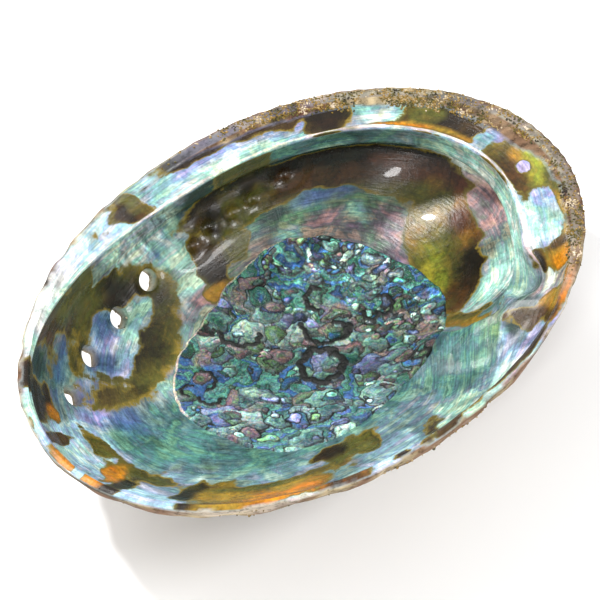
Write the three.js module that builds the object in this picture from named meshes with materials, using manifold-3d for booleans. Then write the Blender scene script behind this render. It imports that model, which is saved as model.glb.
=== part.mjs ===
// Abalone shell, lying on its back with the pearly bowl facing up.
//
// +X points to the spire end, +Y to the side that carries the flat shelf and the row of
// pores, and +Z up out of the bowl. The origin is under the middle of the shell, on the
// surface it rests on. Everything is in millimetres.
//
// The wall is one closed skin. Each meridian of it starts under the shell, climbs the
// outside to the rim, crosses the lip and the shelf, and goes down the cavity to the floor.

import * as THREE from 'three';
import { mergeVertices } from 'three/addons/utils/BufferGeometryUtils.js';
import Module from 'manifold-3d';

// Driving dimensions.
const HALF_LENGTH = 75;            // half the rim's length, along X
const HALF_WIDTH = 52.6;           // half the rim's width, along Y
const DEPTH = 40;                  // from the rim plane down to the lowest point, before wear
const WALL = 2.6;                  // wall at the free edge of the outer lip
const SHELF_SIDE_WALL = 0.9;       // extra wall on the shelf side
const FLOOR = 3.6;                 // shell under the middle of the bowl
const LOWEST = [9, 10];            // plan position of the lowest point
const WORN_FLAT = 0.9;             // height ground off the back where the shell rests
const BOWL_CENTRE = [6, 6];        // the shelf's width is measured towards this plan point

// Widths across the rim, from its outer edge to the mouth of the bowl.
const LIP_WIDTH = 3.4;
const SHELF_WIDTH = 11;            // beside the row of pores
const SPIRE_SHELF_WIDTH = 16.2;    // at the spire end
const SHELF_END_WIDTH = 14.2;      // where the shelf turns down into the bowl

// Spire hollow, closed off by a curved ridge that carries on from the shelf's edge.
const HOLLOW_CENTRE = [40, -17];
const HOLLOW_RADIUS = 12;
const RIDGE_HEIGHT = 6;
const RIDGE_BACK = 15;             // the ridge's outer slope runs out over this distance
const RIDGE_FACE = 2.5;            // width of its steep face
const RIM_CLEAR = 0.2;             // part of the wall, below the rim, that the ridge leaves alone

// Spire, seen on the outside as a low dome.
const APEX = [46, -6];
const SPIRE_HEIGHT = 3.5;
const SPIRE_SPREAD = 13;

// Open pores: angle round the rim in degrees, and how far down the cavity wall.
const PORES = [[109, 0.50], [124, 0.49], [139, 0.43], [153, 0.36]];
const PORE_WIDTH = 3.8;
const PORE_LENGTH = 5.2;
const PORE_CUT = 24;

// Mesh density.
const MERIDIANS = 88;
const OUTSIDE_STEPS = 13;
const LIP_STEPS = 1;
const SHELF_STEPS = 4;
const CAVITY_STEPS = 20;

const degrees = THREE.MathUtils.degToRad;
const ease = (x, from, to) => THREE.MathUtils.smoothstep(x, from, to);
const mix = THREE.MathUtils.lerp;

// Rises from 0 to 1 as the rim angle falls from one bearing to another, in degrees.
function swell(angle, from, to) {
  const bearing = THREE.MathUtils.euclideanModulo(THREE.MathUtils.radToDeg(angle) + 180, 360) - 180;
  return ease(-bearing, -from, -to);
}

const shelfWidth = (angle) => LIP_WIDTH
  + (SHELF_WIDTH - LIP_WIDTH) * swell(angle, 155, 88)
  + (SPIRE_SHELF_WIDTH - SHELF_WIDTH) * swell(angle, 88, -25)
  - (SPIRE_SHELF_WIDTH - SHELF_END_WIDTH) * swell(angle, -25, -50)
  - (SHELF_END_WIDTH - LIP_WIDTH) * swell(angle, -56, -90);

// 1 where there is a shelf, 0 along the free outer lip.
const shelfPart = (angle) => swell(angle, 165, 105) - swell(angle, -40, -64);

// 1 where the shelf has turned into plain sloping wall.
const slopePart = (angle) => swell(angle, -36, -62) * (1 - swell(angle, -100, -140));

// How far the mouth of the bowl lies under the rim plane.
const mouthDrop = (angle) => 1.2 + 1.8 * shelfPart(angle)
  + 5 * swell(angle, -20, -50) * (1 - swell(angle, -60, -90));

// Exponent of the wall's profile: small is steep and full, as on the shelf side.
const fullness = (angle) => 0.92 - 0.25 * Math.cos(angle - degrees(80));

const wallAt = (angle) => WALL + SHELF_SIDE_WALL * shelfPart(angle);

// Plan outline of the rim, an ellipse very slightly out of true.
function rimPoint(angle) {
  const stretch = 1 + 0.004 * Math.cos(2 * (angle + 2)) + 0.008 * Math.cos(angle + 2.4);
  return new THREE.Vector2(HALF_LENGTH * stretch * Math.cos(angle), HALF_WIDTH * stretch * Math.sin(angle));
}

function inward(angle) {
  return new THREE.Vector2(...BOWL_CENTRE).sub(rimPoint(angle)).normalize();
}

// A bowl skin: turn runs from 0 at the rim to 1 at the lowest point.
function bowlPoint(angle, turn, inset, depth) {
  const rim = rimPoint(angle);
  rim.setLength(rim.length() - inset);
  const swing = turn * Math.PI / 2;
  const reach = Math.pow(Math.max(Math.cos(swing), 0), fullness(angle));
  const down = Math.sin(swing);
  return new THREE.Vector3(LOWEST[0] * down + rim.x * reach, LOWEST[1] * down + rim.y * reach, -depth * down);
}

function outsidePoint(angle, turn) {
  const point = bowlPoint(angle, turn, 0, DEPTH);
  const fromApex = Math.hypot(point.x - APEX[0], point.y - APEX[1]);
  point.z -= SPIRE_HEIGHT * Math.exp(-((fromApex / SPIRE_SPREAD) ** 2)) * ease(turn, 0, 0.3);
  return point;
}

// Height of the ridge that carries on from the shelf's edge round the spire hollow.
function ridgeHeight(point) {
  const x = point.x - HOLLOW_CENTRE[0];
  const y = point.y - HOLLOW_CENTRE[1];
  const out = Math.hypot(x, y);
  let bearing = -THREE.MathUtils.radToDeg(Math.atan2(y, x));
  if (bearing < -60) bearing += 360;
  const along = ease(bearing, 55, 100) * (1 - ease(bearing, 120, 215));
  const face = ease(out, HOLLOW_RADIUS - RIDGE_FACE, HOLLOW_RADIUS);
  const back = 1 - ease(out, HOLLOW_RADIUS, HOLLOW_RADIUS + RIDGE_BACK);
  return RIDGE_HEIGHT * along * face * back;
}

function wallPoint(angle, turn) {
  const point = bowlPoint(angle, turn, wallAt(angle), DEPTH - FLOOR);
  point.z += ridgeHeight(point) * ease(turn, 0, RIM_CLEAR);
  return point;
}

// Where the cavity starts down the wall: at the rim, or lower where the shelf is a slope.
function mouthTurn(angle) {
  const left = 1 - (shelfWidth(angle) - WALL) / rimPoint(angle).length();
  return slopePart(angle) * Math.acos(Math.pow(left, 1 / fullness(angle))) * 2 / Math.PI;
}

// The cavity, from the mouth (0) to the lowest point of the floor (1). Under the shelf it is
// undercut: the wall falls back from the shelf's edge.
function cavityPoint(angle, way) {
  const first = mouthTurn(angle);
  const point = wallPoint(angle, first + (1 - first) * way);
  const shelf = 1 - slopePart(angle);
  const overhang = shelf * (shelfWidth(angle) - wallAt(angle)) * (1 - ease(way, 0.13, 0.36));
  const towards = inward(angle).multiplyScalar(overhang);
  point.x += towards.x;
  point.y += towards.y;
  point.z -= shelf * mouthDrop(angle) * (1 - ease(way, 0, 0.25));
  return point;
}

// The shelf's upper face, from the lip (0) to the mouth (1).
function shelfPoint(angle, way) {
  const flat = wallPoint(angle, 0).lerp(cavityPoint(angle, 0), way);
  const slope = wallPoint(angle, mouthTurn(angle) * way);
  return flat.lerp(slope, slopePart(angle));
}

// One meridian, from the outside's lowest point round the rim to the cavity's.
function meridian(angle) {
  const points = [];
  for (let i = 1; i <= OUTSIDE_STEPS; i += 1) points.push(outsidePoint(angle, 1 - i / OUTSIDE_STEPS));
  const edge = outsidePoint(angle, 0);
  const lip = wallPoint(angle, 0);
  for (let i = 1; i <= LIP_STEPS; i += 1) points.push(edge.clone().lerp(lip, i / LIP_STEPS));
  for (let i = 1; i <= SHELF_STEPS; i += 1) points.push(shelfPoint(angle, i / SHELF_STEPS));
  for (let i = 1; i < CAVITY_STEPS; i += 1) points.push(cavityPoint(angle, i / CAVITY_STEPS));
  return points;
}

// Closes the meridians into one skin, with a pole under the shell and one on its floor.
function skinGeometry() {
  const columns = [];
  for (let m = 0; m < MERIDIANS; m += 1) columns.push(meridian(2 * Math.PI * m / MERIDIANS));
  const rows = columns[0].length;
  const under = MERIDIANS * rows;
  const floor = under + 1;
  const positions = columns.flat().flatMap((point) => point.toArray());
  positions.push(...outsidePoint(0, 1).toArray(), ...cavityPoint(0, 1).toArray());
  const faces = [];
  for (let m = 0; m < MERIDIANS; m += 1) {
    const here = m * rows;
    const next = ((m + 1) % MERIDIANS) * rows;
    faces.push(under, next, here);
    for (let r = 0; r < rows - 1; r += 1) {
      faces.push(here + r, next + r, next + r + 1, here + r, next + r + 1, here + r + 1);
    }
    faces.push(here + rows - 1, next + rows - 1, floor);
  }
  const geometry = new THREE.BufferGeometry();
  geometry.setAttribute('position', new THREE.Float32BufferAttribute(positions, 3));
  geometry.setIndex(faces);
  return geometry;
}

// An oval rod through the wall, square to it, with its long axis along the row of pores.
function poreCutter(bearing, way) {
  const angle = degrees(bearing);
  const step = 0.02;
  const at = cavityPoint(angle, way);
  const along = cavityPoint(angle + step, way).sub(cavityPoint(angle - step, way)).normalize();
  const down = cavityPoint(angle, way + step).sub(cavityPoint(angle, way - step)).normalize();
  const through = new THREE.Vector3().crossVectors(along, down).normalize();
  const across = new THREE.Vector3().crossVectors(through, along);
  const geometry = new THREE.CylinderGeometry(0.5, 0.5, PORE_CUT, 14);
  geometry.scale(PORE_LENGTH, 1, PORE_WIDTH);
  geometry.applyMatrix4(new THREE.Matrix4().makeBasis(along, through, across.negate()));
  return geometry.translate(at.x, at.y, at.z);
}

// A block under the shell that takes off the worn flat.
function wearBlock() {
  const height = 10;
  const block = new THREE.BoxGeometry(4 * HALF_LENGTH, 4 * HALF_WIDTH, height);
  return block.translate(0, 0, -DEPTH + WORN_FLAT - height / 2);
}

function toManifold(wasm, geometry) {
  const bare = geometry.clone();
  bare.deleteAttribute('normal');
  bare.deleteAttribute('uv');
  const merged = mergeVertices(bare, 1e-4);
  return new wasm.Manifold(new wasm.Mesh({
    numProp: 3,
    vertProperties: new Float32Array(merged.attributes.position.array),
    triVerts: new Uint32Array(merged.index.array),
  }));
}

function toGeometry(solid) {
  const mesh = solid.getMesh();
  const geometry = new THREE.BufferGeometry();
  geometry.setAttribute('position', new THREE.BufferAttribute(mesh.vertProperties, 3));
  geometry.setIndex(new THREE.BufferAttribute(mesh.triVerts, 1));
  geometry.computeVertexNormals();
  return geometry;
}

const wasm = await Module();
wasm.setup();

let solid = toManifold(wasm, skinGeometry());
for (const [bearing, way] of PORES) solid = solid.subtract(toManifold(wasm, poreCutter(bearing, way)));
solid = solid.subtract(toManifold(wasm, wearBlock()));

const geometry = toGeometry(solid);
geometry.computeBoundingBox();
const box = geometry.boundingBox;
geometry.translate(-(box.min.x + box.max.x) / 2, -(box.min.y + box.max.y) / 2, -box.min.z);

const shell = new THREE.Mesh(geometry, new THREE.MeshStandardMaterial({
  color: 0x7fa8a0,
  roughness: 0.3,
  metalness: 0.1,
}));
shell.name = 'shell';

const abalone = new THREE.Group();
abalone.add(shell);

export default abalone;
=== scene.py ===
"""Abalone shell lying on its back: one grown wall with a nacre bowl, a flat shelf along the pore
side, a spire hollow, a rough muscle scar on the floor and a ribbed, crusted back.

+X points to the spire end, +Y to the shelf and the pores, +Z up. Shapes are worked out in
millimetres and turned into metres when a mesh is made.
"""
import math

import bpy
import numpy as np
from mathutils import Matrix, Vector, bvhtree, kdtree


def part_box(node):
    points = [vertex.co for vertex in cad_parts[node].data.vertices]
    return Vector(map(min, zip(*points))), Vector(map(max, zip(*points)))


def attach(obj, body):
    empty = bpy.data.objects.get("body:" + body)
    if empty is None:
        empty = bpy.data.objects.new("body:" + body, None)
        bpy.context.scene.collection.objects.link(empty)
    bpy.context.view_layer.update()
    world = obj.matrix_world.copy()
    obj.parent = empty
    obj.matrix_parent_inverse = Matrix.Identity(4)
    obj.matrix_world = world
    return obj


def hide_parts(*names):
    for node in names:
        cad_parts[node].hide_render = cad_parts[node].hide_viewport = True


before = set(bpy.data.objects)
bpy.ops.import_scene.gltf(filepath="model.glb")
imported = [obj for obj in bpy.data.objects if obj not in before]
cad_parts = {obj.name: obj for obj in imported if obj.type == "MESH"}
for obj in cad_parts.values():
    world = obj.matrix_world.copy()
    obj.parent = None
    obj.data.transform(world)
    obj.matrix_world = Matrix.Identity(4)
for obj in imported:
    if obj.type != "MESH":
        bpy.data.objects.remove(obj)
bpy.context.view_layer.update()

MM = 0.001
SHELL_LOW, SHELL_HIGH = (np.array(corner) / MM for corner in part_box("shell"))

# The shell's driving sizes, the same as the solid's.
HALF_LENGTH = 75.0
HALF_WIDTH = 52.6
DEPTH = 40.0
WALL = 2.6
SHELF_SIDE_WALL = 0.9
FLOOR = 3.6
LOWEST = np.array([9.0, 10.0])
WORN_FLAT = 0.9
BOWL_CENTRE = np.array([6.0, 6.0])
LIP_WIDTH = 3.4
SHELF_WIDTH = 11.0
SPIRE_SHELF_WIDTH = 16.2
SHELF_END_WIDTH = 14.2
HOLLOW_CENTRE = np.array([40.0, -17.0])
HOLLOW_RADIUS = 12.0
RIDGE_HEIGHT = 6.0
RIDGE_BACK = 15.0
RIDGE_FACE = 2.5
RIM_CLEAR = 0.2
APEX = np.array([46.0, -6.0])
SPIRE_HEIGHT = 3.5
SPIRE_SPREAD = 13.0

# Open pores, then pores that the shell has sealed: bearing round the rim, way down the wall.
OPEN_PORES = [(109, 0.50), (124, 0.49), (139, 0.43), (153, 0.36)]
SEALED_PORES = [(93, 0.52), (86, 0.49), (78, 0.49), (72, 0.47), (62, 0.41)]
PORE_WIDTH = 3.8
PORE_LENGTH = 5.2
PORE_CUT = 24.0
PORE_LEAN = 1.25  # the nacre's mouth of each pore is worn wider down the wall

# Mesh density of the shell's skin.
MERIDIANS = 820
OUTSIDE_STEPS = 32
LIP_STEPS = 3
SHELF_STEPS = 19
CAVITY_STEPS = 63
OPEN_SHARE = 0.86  # of the cavity's rows, the share above the scar
OPEN_WAY = 0.74


# ---------------------------------------------------------------- small tools

def ease(x, start, end):
    u = np.clip((x - start) / (end - start), 0, 1)
    return u * u * (3 - 2 * u)


def bearing_of(angle):
    return np.mod(np.degrees(angle) + 180, 360) - 180


def swell(angle, start, end):
    """Rises from 0 to 1 as the rim bearing falls from start to end, in degrees."""
    return ease(-bearing_of(angle), -start, -end)


def blob(distance, reach):
    """1 in the middle of a spot, falling smoothly to 0 at its reach."""
    return 1 - ease(distance, 0, reach)


def bearing_gap(angle, bearing):
    return np.mod(bearing_of(angle) - bearing + 180, 360) - 180


def unit(vectors):
    return vectors / np.maximum(np.linalg.norm(vectors, axis=-1, keepdims=True), 1e-9)


class Grain:
    """Smooth random values in space, the same on every run."""

    def __init__(self, seed):
        rng = np.random.default_rng(seed)
        self.shuffle = rng.permutation(256)
        self.values = rng.uniform(-1, 1, 256)

    def corner(self, cell):
        x, y, z = (cell[..., i] & 255 for i in range(3))
        return self.values[self.shuffle[(self.shuffle[(self.shuffle[x] + y) & 255] + z) & 255]]

    def plain(self, points):
        base = np.floor(points).astype(int)
        f = points - base
        f = f * f * f * (f * (f * 6 - 15) + 10)
        total = 0
        for dx in (0, 1):
            for dy in (0, 1):
                for dz in (0, 1):
                    step = np.array([dx, dy, dz])
                    weight = np.prod(np.where(step, f, 1 - f), axis=-1)
                    total = total + weight * self.corner(base + step)
        return total

    def rough(self, points, size, octaves=3):
        """Layered values in about -1 to 1; size is the widest feature's."""
        points = np.asarray(points, float)
        if points.shape[-1] == 2:
            points = np.concatenate([points, np.zeros_like(points[..., :1])], -1)
        total = 0
        for octave in range(octaves):
            total = total + self.plain(points * 2 ** octave / size + 17.3 * octave) / 2 ** octave
        return total / (2 - 2 ** (1 - octaves))


# ---------------------------------------------------------------- the shell's shape

def shelf_width(angle):
    return (LIP_WIDTH
            + (SHELF_WIDTH - LIP_WIDTH) * swell(angle, 155, 88)
            + (SPIRE_SHELF_WIDTH - SHELF_WIDTH) * swell(angle, 88, -25)
            - (SPIRE_SHELF_WIDTH - SHELF_END_WIDTH) * swell(angle, -25, -50)
            - (SHELF_END_WIDTH - LIP_WIDTH) * swell(angle, -56, -90))


def shelf_part(angle):
    return swell(angle, 165, 105) - swell(angle, -40, -64)


def slope_part(angle):
    return swell(angle, -36, -62) * (1 - swell(angle, -100, -140))


def mouth_drop(angle):
    return (1.2 + 1.8 * shelf_part(angle)
            + 5 * swell(angle, -20, -50) * (1 - swell(angle, -60, -90)))


def fullness(angle):
    return 0.92 - 0.25 * np.cos(angle - math.radians(80))


def wall_at(angle):
    return WALL + SHELF_SIDE_WALL * shelf_part(angle)


def rim_point(angle):
    stretch = 1 + 0.004 * np.cos(2 * (angle + 2)) + 0.008 * np.cos(angle + 2.4)
    return np.stack([HALF_LENGTH * stretch * np.cos(angle), HALF_WIDTH * stretch * np.sin(angle)], -1)


def bowl_point(angle, turn, inset, depth):
    rim = rim_point(angle)
    reach = np.linalg.norm(rim, axis=-1)
    rim = rim * ((reach - inset) / reach)[..., None]
    swing = turn * math.pi / 2
    out = np.maximum(np.cos(swing), 0) ** fullness(angle)
    down = np.sin(swing)
    plan = LOWEST * down[..., None] + rim * out[..., None]
    return np.concatenate([plan, (-depth * down)[..., None]], -1)


def outside_point(angle, turn):
    point = bowl_point(angle, turn, 0, DEPTH)
    from_apex = np.linalg.norm(point[..., :2] - APEX, axis=-1)
    point[..., 2] -= SPIRE_HEIGHT * np.exp(-(from_apex / SPIRE_SPREAD) ** 2) * ease(turn, 0, 0.3)
    return point


def ridge_height(point):
    offset = point[..., :2] - HOLLOW_CENTRE
    out = np.linalg.norm(offset, axis=-1)
    bearing = -np.degrees(np.arctan2(offset[..., 1], offset[..., 0]))
    bearing = np.where(bearing < -60, bearing + 360, bearing)
    along = ease(bearing, 55, 100) * (1 - ease(bearing, 120, 215))
    face = ease(out, HOLLOW_RADIUS - RIDGE_FACE, HOLLOW_RADIUS)
    back = 1 - ease(out, HOLLOW_RADIUS, HOLLOW_RADIUS + RIDGE_BACK)
    return RIDGE_HEIGHT * along * face * back


def wall_point(angle, turn):
    point = bowl_point(angle, turn, wall_at(angle), DEPTH - FLOOR)
    point[..., 2] += ridge_height(point) * ease(turn, 0, RIM_CLEAR)
    return point


def mouth_turn(angle):
    left = 1 - (shelf_width(angle) - WALL) / np.linalg.norm(rim_point(angle), axis=-1)
    return slope_part(angle) * np.arccos(left ** (1 / fullness(angle))) * 2 / math.pi


def cavity_point(angle, way):
    first = mouth_turn(angle)
    point = wall_point(angle, first + (1 - first) * way)
    shelf = 1 - slope_part(angle)
    overhang = shelf * (shelf_width(angle) - wall_at(angle)) * (1 - ease(way, 0.13, 0.36))
    point[..., :2] += unit(BOWL_CENTRE - rim_point(angle)) * overhang[..., None]
    point[..., 2] -= shelf * mouth_drop(angle) * (1 - ease(way, 0, 0.25))
    return point


def shelf_point(angle, way):
    zero = np.zeros_like(angle)
    lip, mouth = wall_point(angle, zero), cavity_point(angle, zero)
    flat = lip + (mouth - lip) * way[..., None]
    slope = wall_point(angle, mouth_turn(angle) * way)
    return flat + (slope - flat) * slope_part(angle)[..., None]


# ---------------------------------------------------------------- the skin as one grid

OUTSIDE, LIP, SHELF, CAVITY = range(4)


def skin_rows():
    """(zone, way) of every row of the skin, from under the shell round the rim to the floor."""
    rows = [(OUTSIDE, 1 - i / OUTSIDE_STEPS) for i in range(1, OUTSIDE_STEPS + 1)]
    rows += [(LIP, i / LIP_STEPS) for i in range(1, LIP_STEPS + 1)]
    rows += [(SHELF, i / SHELF_STEPS) for i in range(1, SHELF_STEPS + 1)]
    spread = np.interp(np.arange(1, CAVITY_STEPS) / CAVITY_STEPS, [0, OPEN_SHARE, 1], [0, OPEN_WAY, 1])
    rows += [(CAVITY, way) for way in spread]
    return rows


def skin_grid():
    """Grid of points with each one's bearing, zone and way."""
    rows = skin_rows()
    angle = np.broadcast_to(np.arange(MERIDIANS) * 2 * math.pi / MERIDIANS, (len(rows), MERIDIANS))
    zone = np.array([row[0] for row in rows])
    way = np.array([row[1] for row in rows])
    points = np.zeros((len(rows), MERIDIANS, 3))
    spread = np.broadcast_to(way[:, None], angle.shape)
    zero = np.zeros_like(angle)
    edge, lip = outside_point(angle, zero), wall_point(angle, zero)
    made = {
        OUTSIDE: outside_point(angle, spread),
        LIP: edge + (lip - edge) * spread[..., None],
        SHELF: shelf_point(angle, spread),
        CAVITY: cavity_point(angle, spread),
    }
    for kind, values in made.items():
        points[zone == kind] = values[zone == kind]
    return points, angle, np.broadcast_to(zone[:, None], angle.shape), spread


def grid_normals(points):
    """Outward normals of the skin's grid, which closes on itself round the rim."""
    round_rim = np.roll(points, -1, 1) - np.roll(points, 1, 1)
    along = np.gradient(points, axis=0)
    return unit(np.cross(round_rim, along))


def pore_frame(bearing, way):
    """Centre of a pore on the cavity wall, and unit vectors along the row, down the wall and
    through it."""
    angle, step = math.radians(bearing), 0.02

    def at(a, w):
        return cavity_point(np.array([a]), np.array([w]))[0]

    centre = at(angle, way)
    along = unit(at(angle + step, way) - at(angle - step, way))
    down = unit(at(angle, way + step) - at(angle, way - step))
    through = unit(np.cross(along, down))
    return centre, along, np.cross(through, along), through


# ---------------------------------------------------------------- relief on the skin

GRAIN_RISE = 0.35  # the lip lies this much lower where lime grains stand on it

chip_grain = Grain(3)
growth_grain = Grain(7)
crust_grain = Grain(11)
warp_grain = Grain(19)


def rim_relief(points, angle, zone, way):
    """Small waves and chips along the rim's edge."""
    rim = rim_point(angle)
    edge = np.where(zone == OUTSIDE, ease(1 - way, 0.86, 1.0), 0)
    edge = np.where(zone == LIP, 1 - 0.5 * way, edge)
    edge = np.where(zone == SHELF, 0.5 * (1 - ease(way, 0, 0.35)), edge)
    wave = growth_grain.rough(rim, 26, 3)
    chips = np.minimum(chip_grain.rough(rim, 5, 3), 0.15)
    outward = unit(rim)
    free_lip = 1 - 0.65 * shelf_part(angle)
    shift = np.minimum(edge * (0.5 * wave + 0.7 * chips - 0.35) * free_lip, 0) - 0.3 * edge
    points[..., :2] += outward * shift[..., None]
    points[..., 2] += np.minimum(edge * (0.5 * wave + 0.5 * chips - 0.4), 0) * free_lip
    points[..., 2] -= GRAIN_RISE * edge * shelf_part(angle)


def growth_relief(points, normals, angle, zone, way):
    """Faint growth steps that run along the wall inside, strongest near the outer lip."""
    inside = zone == CAVITY
    lines = np.stack([way * 26, bearing_of(angle) / 60], -1)
    steps = growth_grain.rough(lines, 1.0, 4)
    near_lip = ease(1 - way, 0.35, 0.95) * (1 - 0.6 * shelf_part(angle))
    points += normals * (inside * near_lip * steps * 0.35)[..., None]
    swell_in = warp_grain.rough(points, 22, 2)
    points += normals * (inside * ease(way, 0.2, 0.5) * swell_in * 0.45)[..., None]


def shelf_relief(points, angle, zone, way):
    """The shelf's worn, slightly dished top with a thick rolled edge."""
    on_shelf = (zone == SHELF) * shelf_part(angle)
    roll = np.exp(-((way - 0.93) / 0.07) ** 2) * 0.45
    dish = -0.35 * np.sin(np.pi * np.clip(way, 0, 1)) ** 1.5
    rough = crust_grain.rough(points, 7, 3) * 0.5 * way * (1 - way)
    points[..., 2] += on_shelf * (roll + dish + rough)


def pore_relief(points, normals, zone):
    """Funnels round the open pores and dimples where old ones were sealed, with raised collars
    on the back."""
    for bearing, way in OPEN_PORES + SEALED_PORES:
        is_open = (bearing, way) in OPEN_PORES
        centre, along, down, through = pore_frame(bearing, way)
        offset = points - centre
        across = np.hypot(offset @ along / PORE_LENGTH, offset @ down / PORE_WIDTH)
        deep = np.abs(offset @ through)
        near = deep < 9
        inside = (zone == CAVITY) & near
        outside = (zone == OUTSIDE) & near
        collar = np.exp(-((across - 0.95) / 0.33) ** 2)
        if is_open:
            points += normals * (inside * (-0.9 * blob(across, 1.1) + 0.12 * collar))[..., None]
            points += normals * (outside * 1.5 * np.exp(-((across - 0.72) / 0.3) ** 2))[..., None]
        else:
            points += normals * (inside * (-1.6 * blob(across, 0.6) + 0.4 * collar))[..., None]
            points += normals * (outside * 1.0 * (blob(across, 0.9) - 0.5 * blob(across, 0.4)))[..., None]


RIBS = 46
RIB_TWIST = 0.9


def back_pattern(points, angle, way):
    """Ribs that spiral out from the apex, growth ledges across them, and the spire's coil."""
    offset = points[..., :2] - APEX
    out = np.linalg.norm(offset, axis=-1)
    turn = np.arctan2(offset[..., 1], offset[..., 0])
    spiral = turn + RIB_TWIST * np.log(np.maximum(out, 1) / 60)
    ribs = np.sin(RIBS * spiral + 1.5 * warp_grain.rough(points, 30, 2)) * ease(out, 10, 30)
    ledge = growth_grain.rough(np.stack([out / 5 + bearing_of(angle) / 90, way * 3], -1), 1.0, 3)
    coil = np.cos(turn + 2.6 * np.log(np.maximum(out, 1)) + 0.6) * np.exp(-(out / 24) ** 2)
    return ribs, ledge, coil


def back_relief(points, normals, angle, zone, way):
    """Ribs, growth ledges, crust and the spire's coil on the back."""
    ribs, ledge, coil = back_pattern(points, angle, way)
    crust = crust_grain.rough(points, 9, 4)
    outside = (zone == OUTSIDE) * 1.0
    fade = 1 - ease(1 - way, 0.9, 1.0) * 0.8
    height = 0.4 * ribs + 0.7 * ledge + 0.5 * np.maximum(crust, 0) + 1.5 * coil
    points += normals * (outside * fade * (height - 1.0))[..., None]


def wear_back(points):
    """The worn flat that the shell rests on."""
    points[..., 2] = np.maximum(points[..., 2], -DEPTH + WORN_FLAT)


# ---------------------------------------------------------------- meshes

def to_frame(points):
    """From millimetres, measured from the rim plane, to metres in the solid's own box."""
    rim = rim_point(np.linspace(0, 2 * math.pi, 721))
    rim_middle = (rim.max(0) + rim.min(0)) / 2
    sideways = (SHELL_LOW + SHELL_HIGH)[:2] / 2 - rim_middle[:2]
    shift = np.array([*sideways, SHELL_LOW[2] + DEPTH - WORN_FLAT])
    return (points + shift) * MM


def new_mesh_object(name, points, faces):
    mesh = bpy.data.meshes.new(name)
    mesh.from_pydata(points.tolist(), [], faces.tolist())
    mesh.update()
    piece = bpy.data.objects.new(name, mesh)
    bpy.context.scene.collection.objects.link(piece)
    return piece


def set_attribute(piece, name, values, kind="FLOAT"):
    layer = piece.data.attributes.new(name, kind, "POINT")
    field = "color" if kind == "FLOAT_COLOR" else "value"
    layer.data.foreach_set(field, np.ascontiguousarray(values, np.float32).ravel())


def skin_faces(rows):
    """Quads between neighbouring meridians, and a fan at each pole."""
    here = np.arange(rows - 1)[:, None] * MERIDIANS + np.arange(MERIDIANS)
    after = np.arange(rows - 1)[:, None] * MERIDIANS + (np.arange(MERIDIANS) + 1) % MERIDIANS
    quads = np.stack([here, after, after + MERIDIANS, here + MERIDIANS], -1).reshape(-1, 4)
    first = np.concatenate([quads[:, [0, 1, 2]], quads[:, [0, 2, 3]]])
    under, floor = rows * MERIDIANS, rows * MERIDIANS + 1
    column = np.arange(MERIDIANS)
    beside = (column + 1) % MERIDIANS
    last = (rows - 1) * MERIDIANS
    low = np.stack([np.full(MERIDIANS, under), beside, column], -1)
    high = np.stack([last + column, last + beside, np.full(MERIDIANS, floor)], -1)
    return np.concatenate([first, low, high])


def pore_cutter(bearing, way):
    """An oval rod through the wall, wider towards the bowl."""
    centre, along, down, through = pore_frame(bearing, way)
    sides = 40
    turn = np.arange(sides) * 2 * math.pi / sides
    ring = (along * (np.cos(turn) * PORE_LENGTH / 2)[:, None]
            + down * (np.sin(turn) * PORE_WIDTH * PORE_LEAN / 2)[:, None])
    low = centre + ring * 1.1 - through * PORE_CUT / 2
    high = centre + ring * 1.2 + through * PORE_CUT / 2
    points = np.concatenate([low, high])
    i = np.arange(sides)
    j = (i + 1) % sides
    walls = [[int(a), int(b), int(b) + sides, int(a) + sides] for a, b in zip(i, j)]
    caps = [[int(a) for a in i[::-1]], [int(a) + sides for a in i]]
    mesh = bpy.data.meshes.new("pore_cutter")
    mesh.from_pydata(to_frame(points).tolist(), [], walls + caps)
    cutter = bpy.data.objects.new("pore_cutter", mesh)
    bpy.context.scene.collection.objects.link(cutter)
    return cutter


def cut_pores(piece):
    """Cuts the open pores, then turns the result into a plain mesh."""
    cutters = [pore_cutter(bearing, way) for bearing, way in OPEN_PORES]
    for cutter in cutters:
        cut = piece.modifiers.new("pore", "BOOLEAN")
        cut.operation = "DIFFERENCE"
        cut.solver = "EXACT"
        cut.object = cutter
    bpy.context.view_layer.update()
    shaped = piece.evaluated_get(bpy.context.evaluated_depsgraph_get())
    mesh = bpy.data.meshes.new_from_object(shaped)
    piece.modifiers.clear()
    old = piece.data
    piece.data = mesh
    bpy.data.meshes.remove(old)
    for cutter in cutters:
        bpy.data.objects.remove(cutter)


def mesh_points(piece):
    flat = np.zeros(len(piece.data.vertices) * 3, np.float32)
    piece.data.vertices.foreach_get("co", flat)
    return flat.reshape(-1, 3)


# ---------------------------------------------------------------- colours

def srgb(red, green, blue):
    """A display colour, 0 to 255, as linear light."""
    shown = np.array([red, green, blue]) / 255
    return np.where(shown < 0.04045, shown / 12.92, ((shown + 0.055) / 1.055) ** 2.4)


TEAL = srgb(74, 124, 112)
DEEP_GREEN = srgb(34, 72, 58)
GREEN = srgb(104, 138, 92)
LIME = srgb(142, 142, 40)
MINT = srgb(180, 206, 186)
PALE_BLUE = srgb(172, 194, 206)
LAVENDER = srgb(142, 144, 186)
TURQUOISE = srgb(126, 166, 154)
BLUE = srgb(54, 92, 134)
STEEL = srgb(112, 134, 138)
DARK_BROWN = srgb(30, 20, 9)
BROWN = srgb(68, 46, 18)
RUST = srgb(84, 48, 26)
OLIVE = srgb(86, 80, 28)
GOLD = srgb(152, 116, 34)
ORANGE = srgb(196, 120, 18)
PINK = srgb(150, 122, 112)
ROSE = srgb(128, 104, 104)
TAN = srgb(176, 144, 126)
CREAM = srgb(216, 200, 180)
CYAN = srgb(184, 220, 202)
SILVER = srgb(164, 176, 168)
GREY = srgb(140, 138, 128)
WHITE = srgb(228, 232, 222)
CRUST = srgb(176, 156, 116)

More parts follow.
